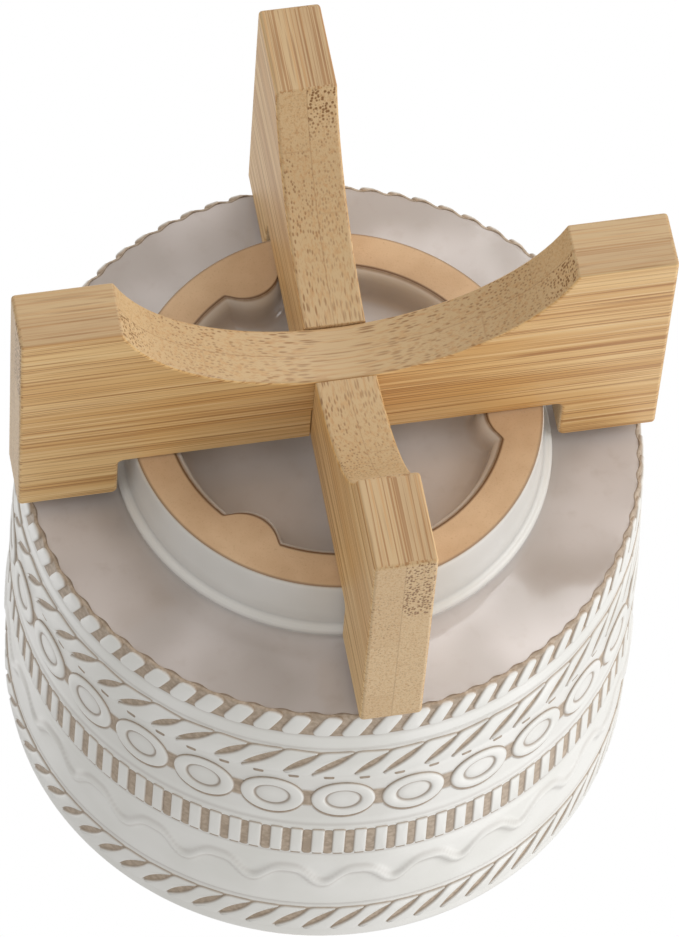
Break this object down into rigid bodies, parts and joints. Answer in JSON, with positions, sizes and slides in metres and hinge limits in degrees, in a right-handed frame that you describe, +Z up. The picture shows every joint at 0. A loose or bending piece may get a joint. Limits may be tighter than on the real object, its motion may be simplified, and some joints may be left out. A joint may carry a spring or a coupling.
{
  "type": "crock fermenter",
  "caption": "Open stoneware fermenting crock with embossed bands, half-moon weights and a bamboo lid, standing on a half-lapped bamboo cross.",
  "frame": {"origin": "on the floor under the middle of the stand's cross", "axes": "+Z up along the crock's axis; +X along the lower board of the stand, +Y along the upper board"},
  "size_m": [0.208, 0.208, 0.2781],
  "materials": {
    "crock_glaze": "gloss",
    "weight_glaze": "gloss",
    "lid_bamboo": "satin",
    "stand_bamboo": "satin",
    "silicone": "matte",
    "stainless": "satin"
  },
  "bodies": {
    "stand_lower": {"stand_board_lower": "stand_bamboo"},
    "stand_upper": {"stand_board_upper": "stand_bamboo"},
    "crock": {"crock_body": "crock_glaze"},
    "weight_l": {"weight_left": "weight_glaze"},
    "weight_r": {"weight_right": "weight_glaze"},
    "lid": {"lid_board": "lid_bamboo", "lid_seal": "silicone", "lid_knob": "lid_bamboo", "knob_screw": "stainless"}
  },
  "joints": [
    {"name": "half_lap_slide", "type": "slide", "parent": "stand_lower", "child": "stand_upper", "axis": [0, 0, 1], "range_m": [0, 0.04]},
    {"name": "crock_lift", "type": "slide", "parent": "stand_upper", "child": "crock", "axis": [0, 0, 1], "range_m": [0, 0.06]},
    {"name": "lid_lift", "type": "slide", "parent": "crock", "child": "lid", "axis": [0, 0, 1], "range_m": [0, 0.12]},
    {"name": "weight_left_float", "type": "slide", "parent": "crock", "child": "weight_l", "axis": [0, 0, 1], "range_m": [0, 0.09]},
    {"name": "weight_right_float", "type": "slide", "parent": "crock", "child": "weight_r", "axis": [0, 0, 1], "range_m": [0, 0.09]}
  ]
}
